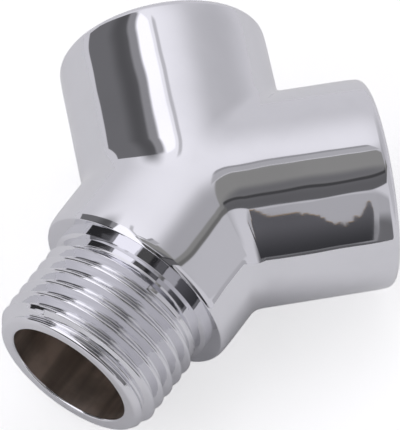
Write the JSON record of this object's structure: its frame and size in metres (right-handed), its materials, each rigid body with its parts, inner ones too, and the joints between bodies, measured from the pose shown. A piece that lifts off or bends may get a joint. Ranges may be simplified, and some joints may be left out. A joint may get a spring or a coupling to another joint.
{
  "type": "y-piece pipe connector",
  "caption": "Chrome plated Y shaped pipe fitting: a male threaded trunk splits into two arms at right angles to each other, each with a female port.",
  "frame": {"origin": "centre of the shoulder face that the male thread stands on, on the trunk's axis; the three legs' axes cross 12.85 mm behind it, on +Y", "axes": "-Y out along the male thread, +Y between the two arms, X across the arms, +Z normal to the plane of the three axes, so the part lies flat"},
  "size_m": [0.0478, 0.05, 0.025],
  "materials": {
    "chrome_plate": "polished chrome plate over brass, with the bare brass showing brown in the passage"
  },
  "bodies": {
    "root": {"y_connector": "chrome_plate"}
  },
  "joints": []
}
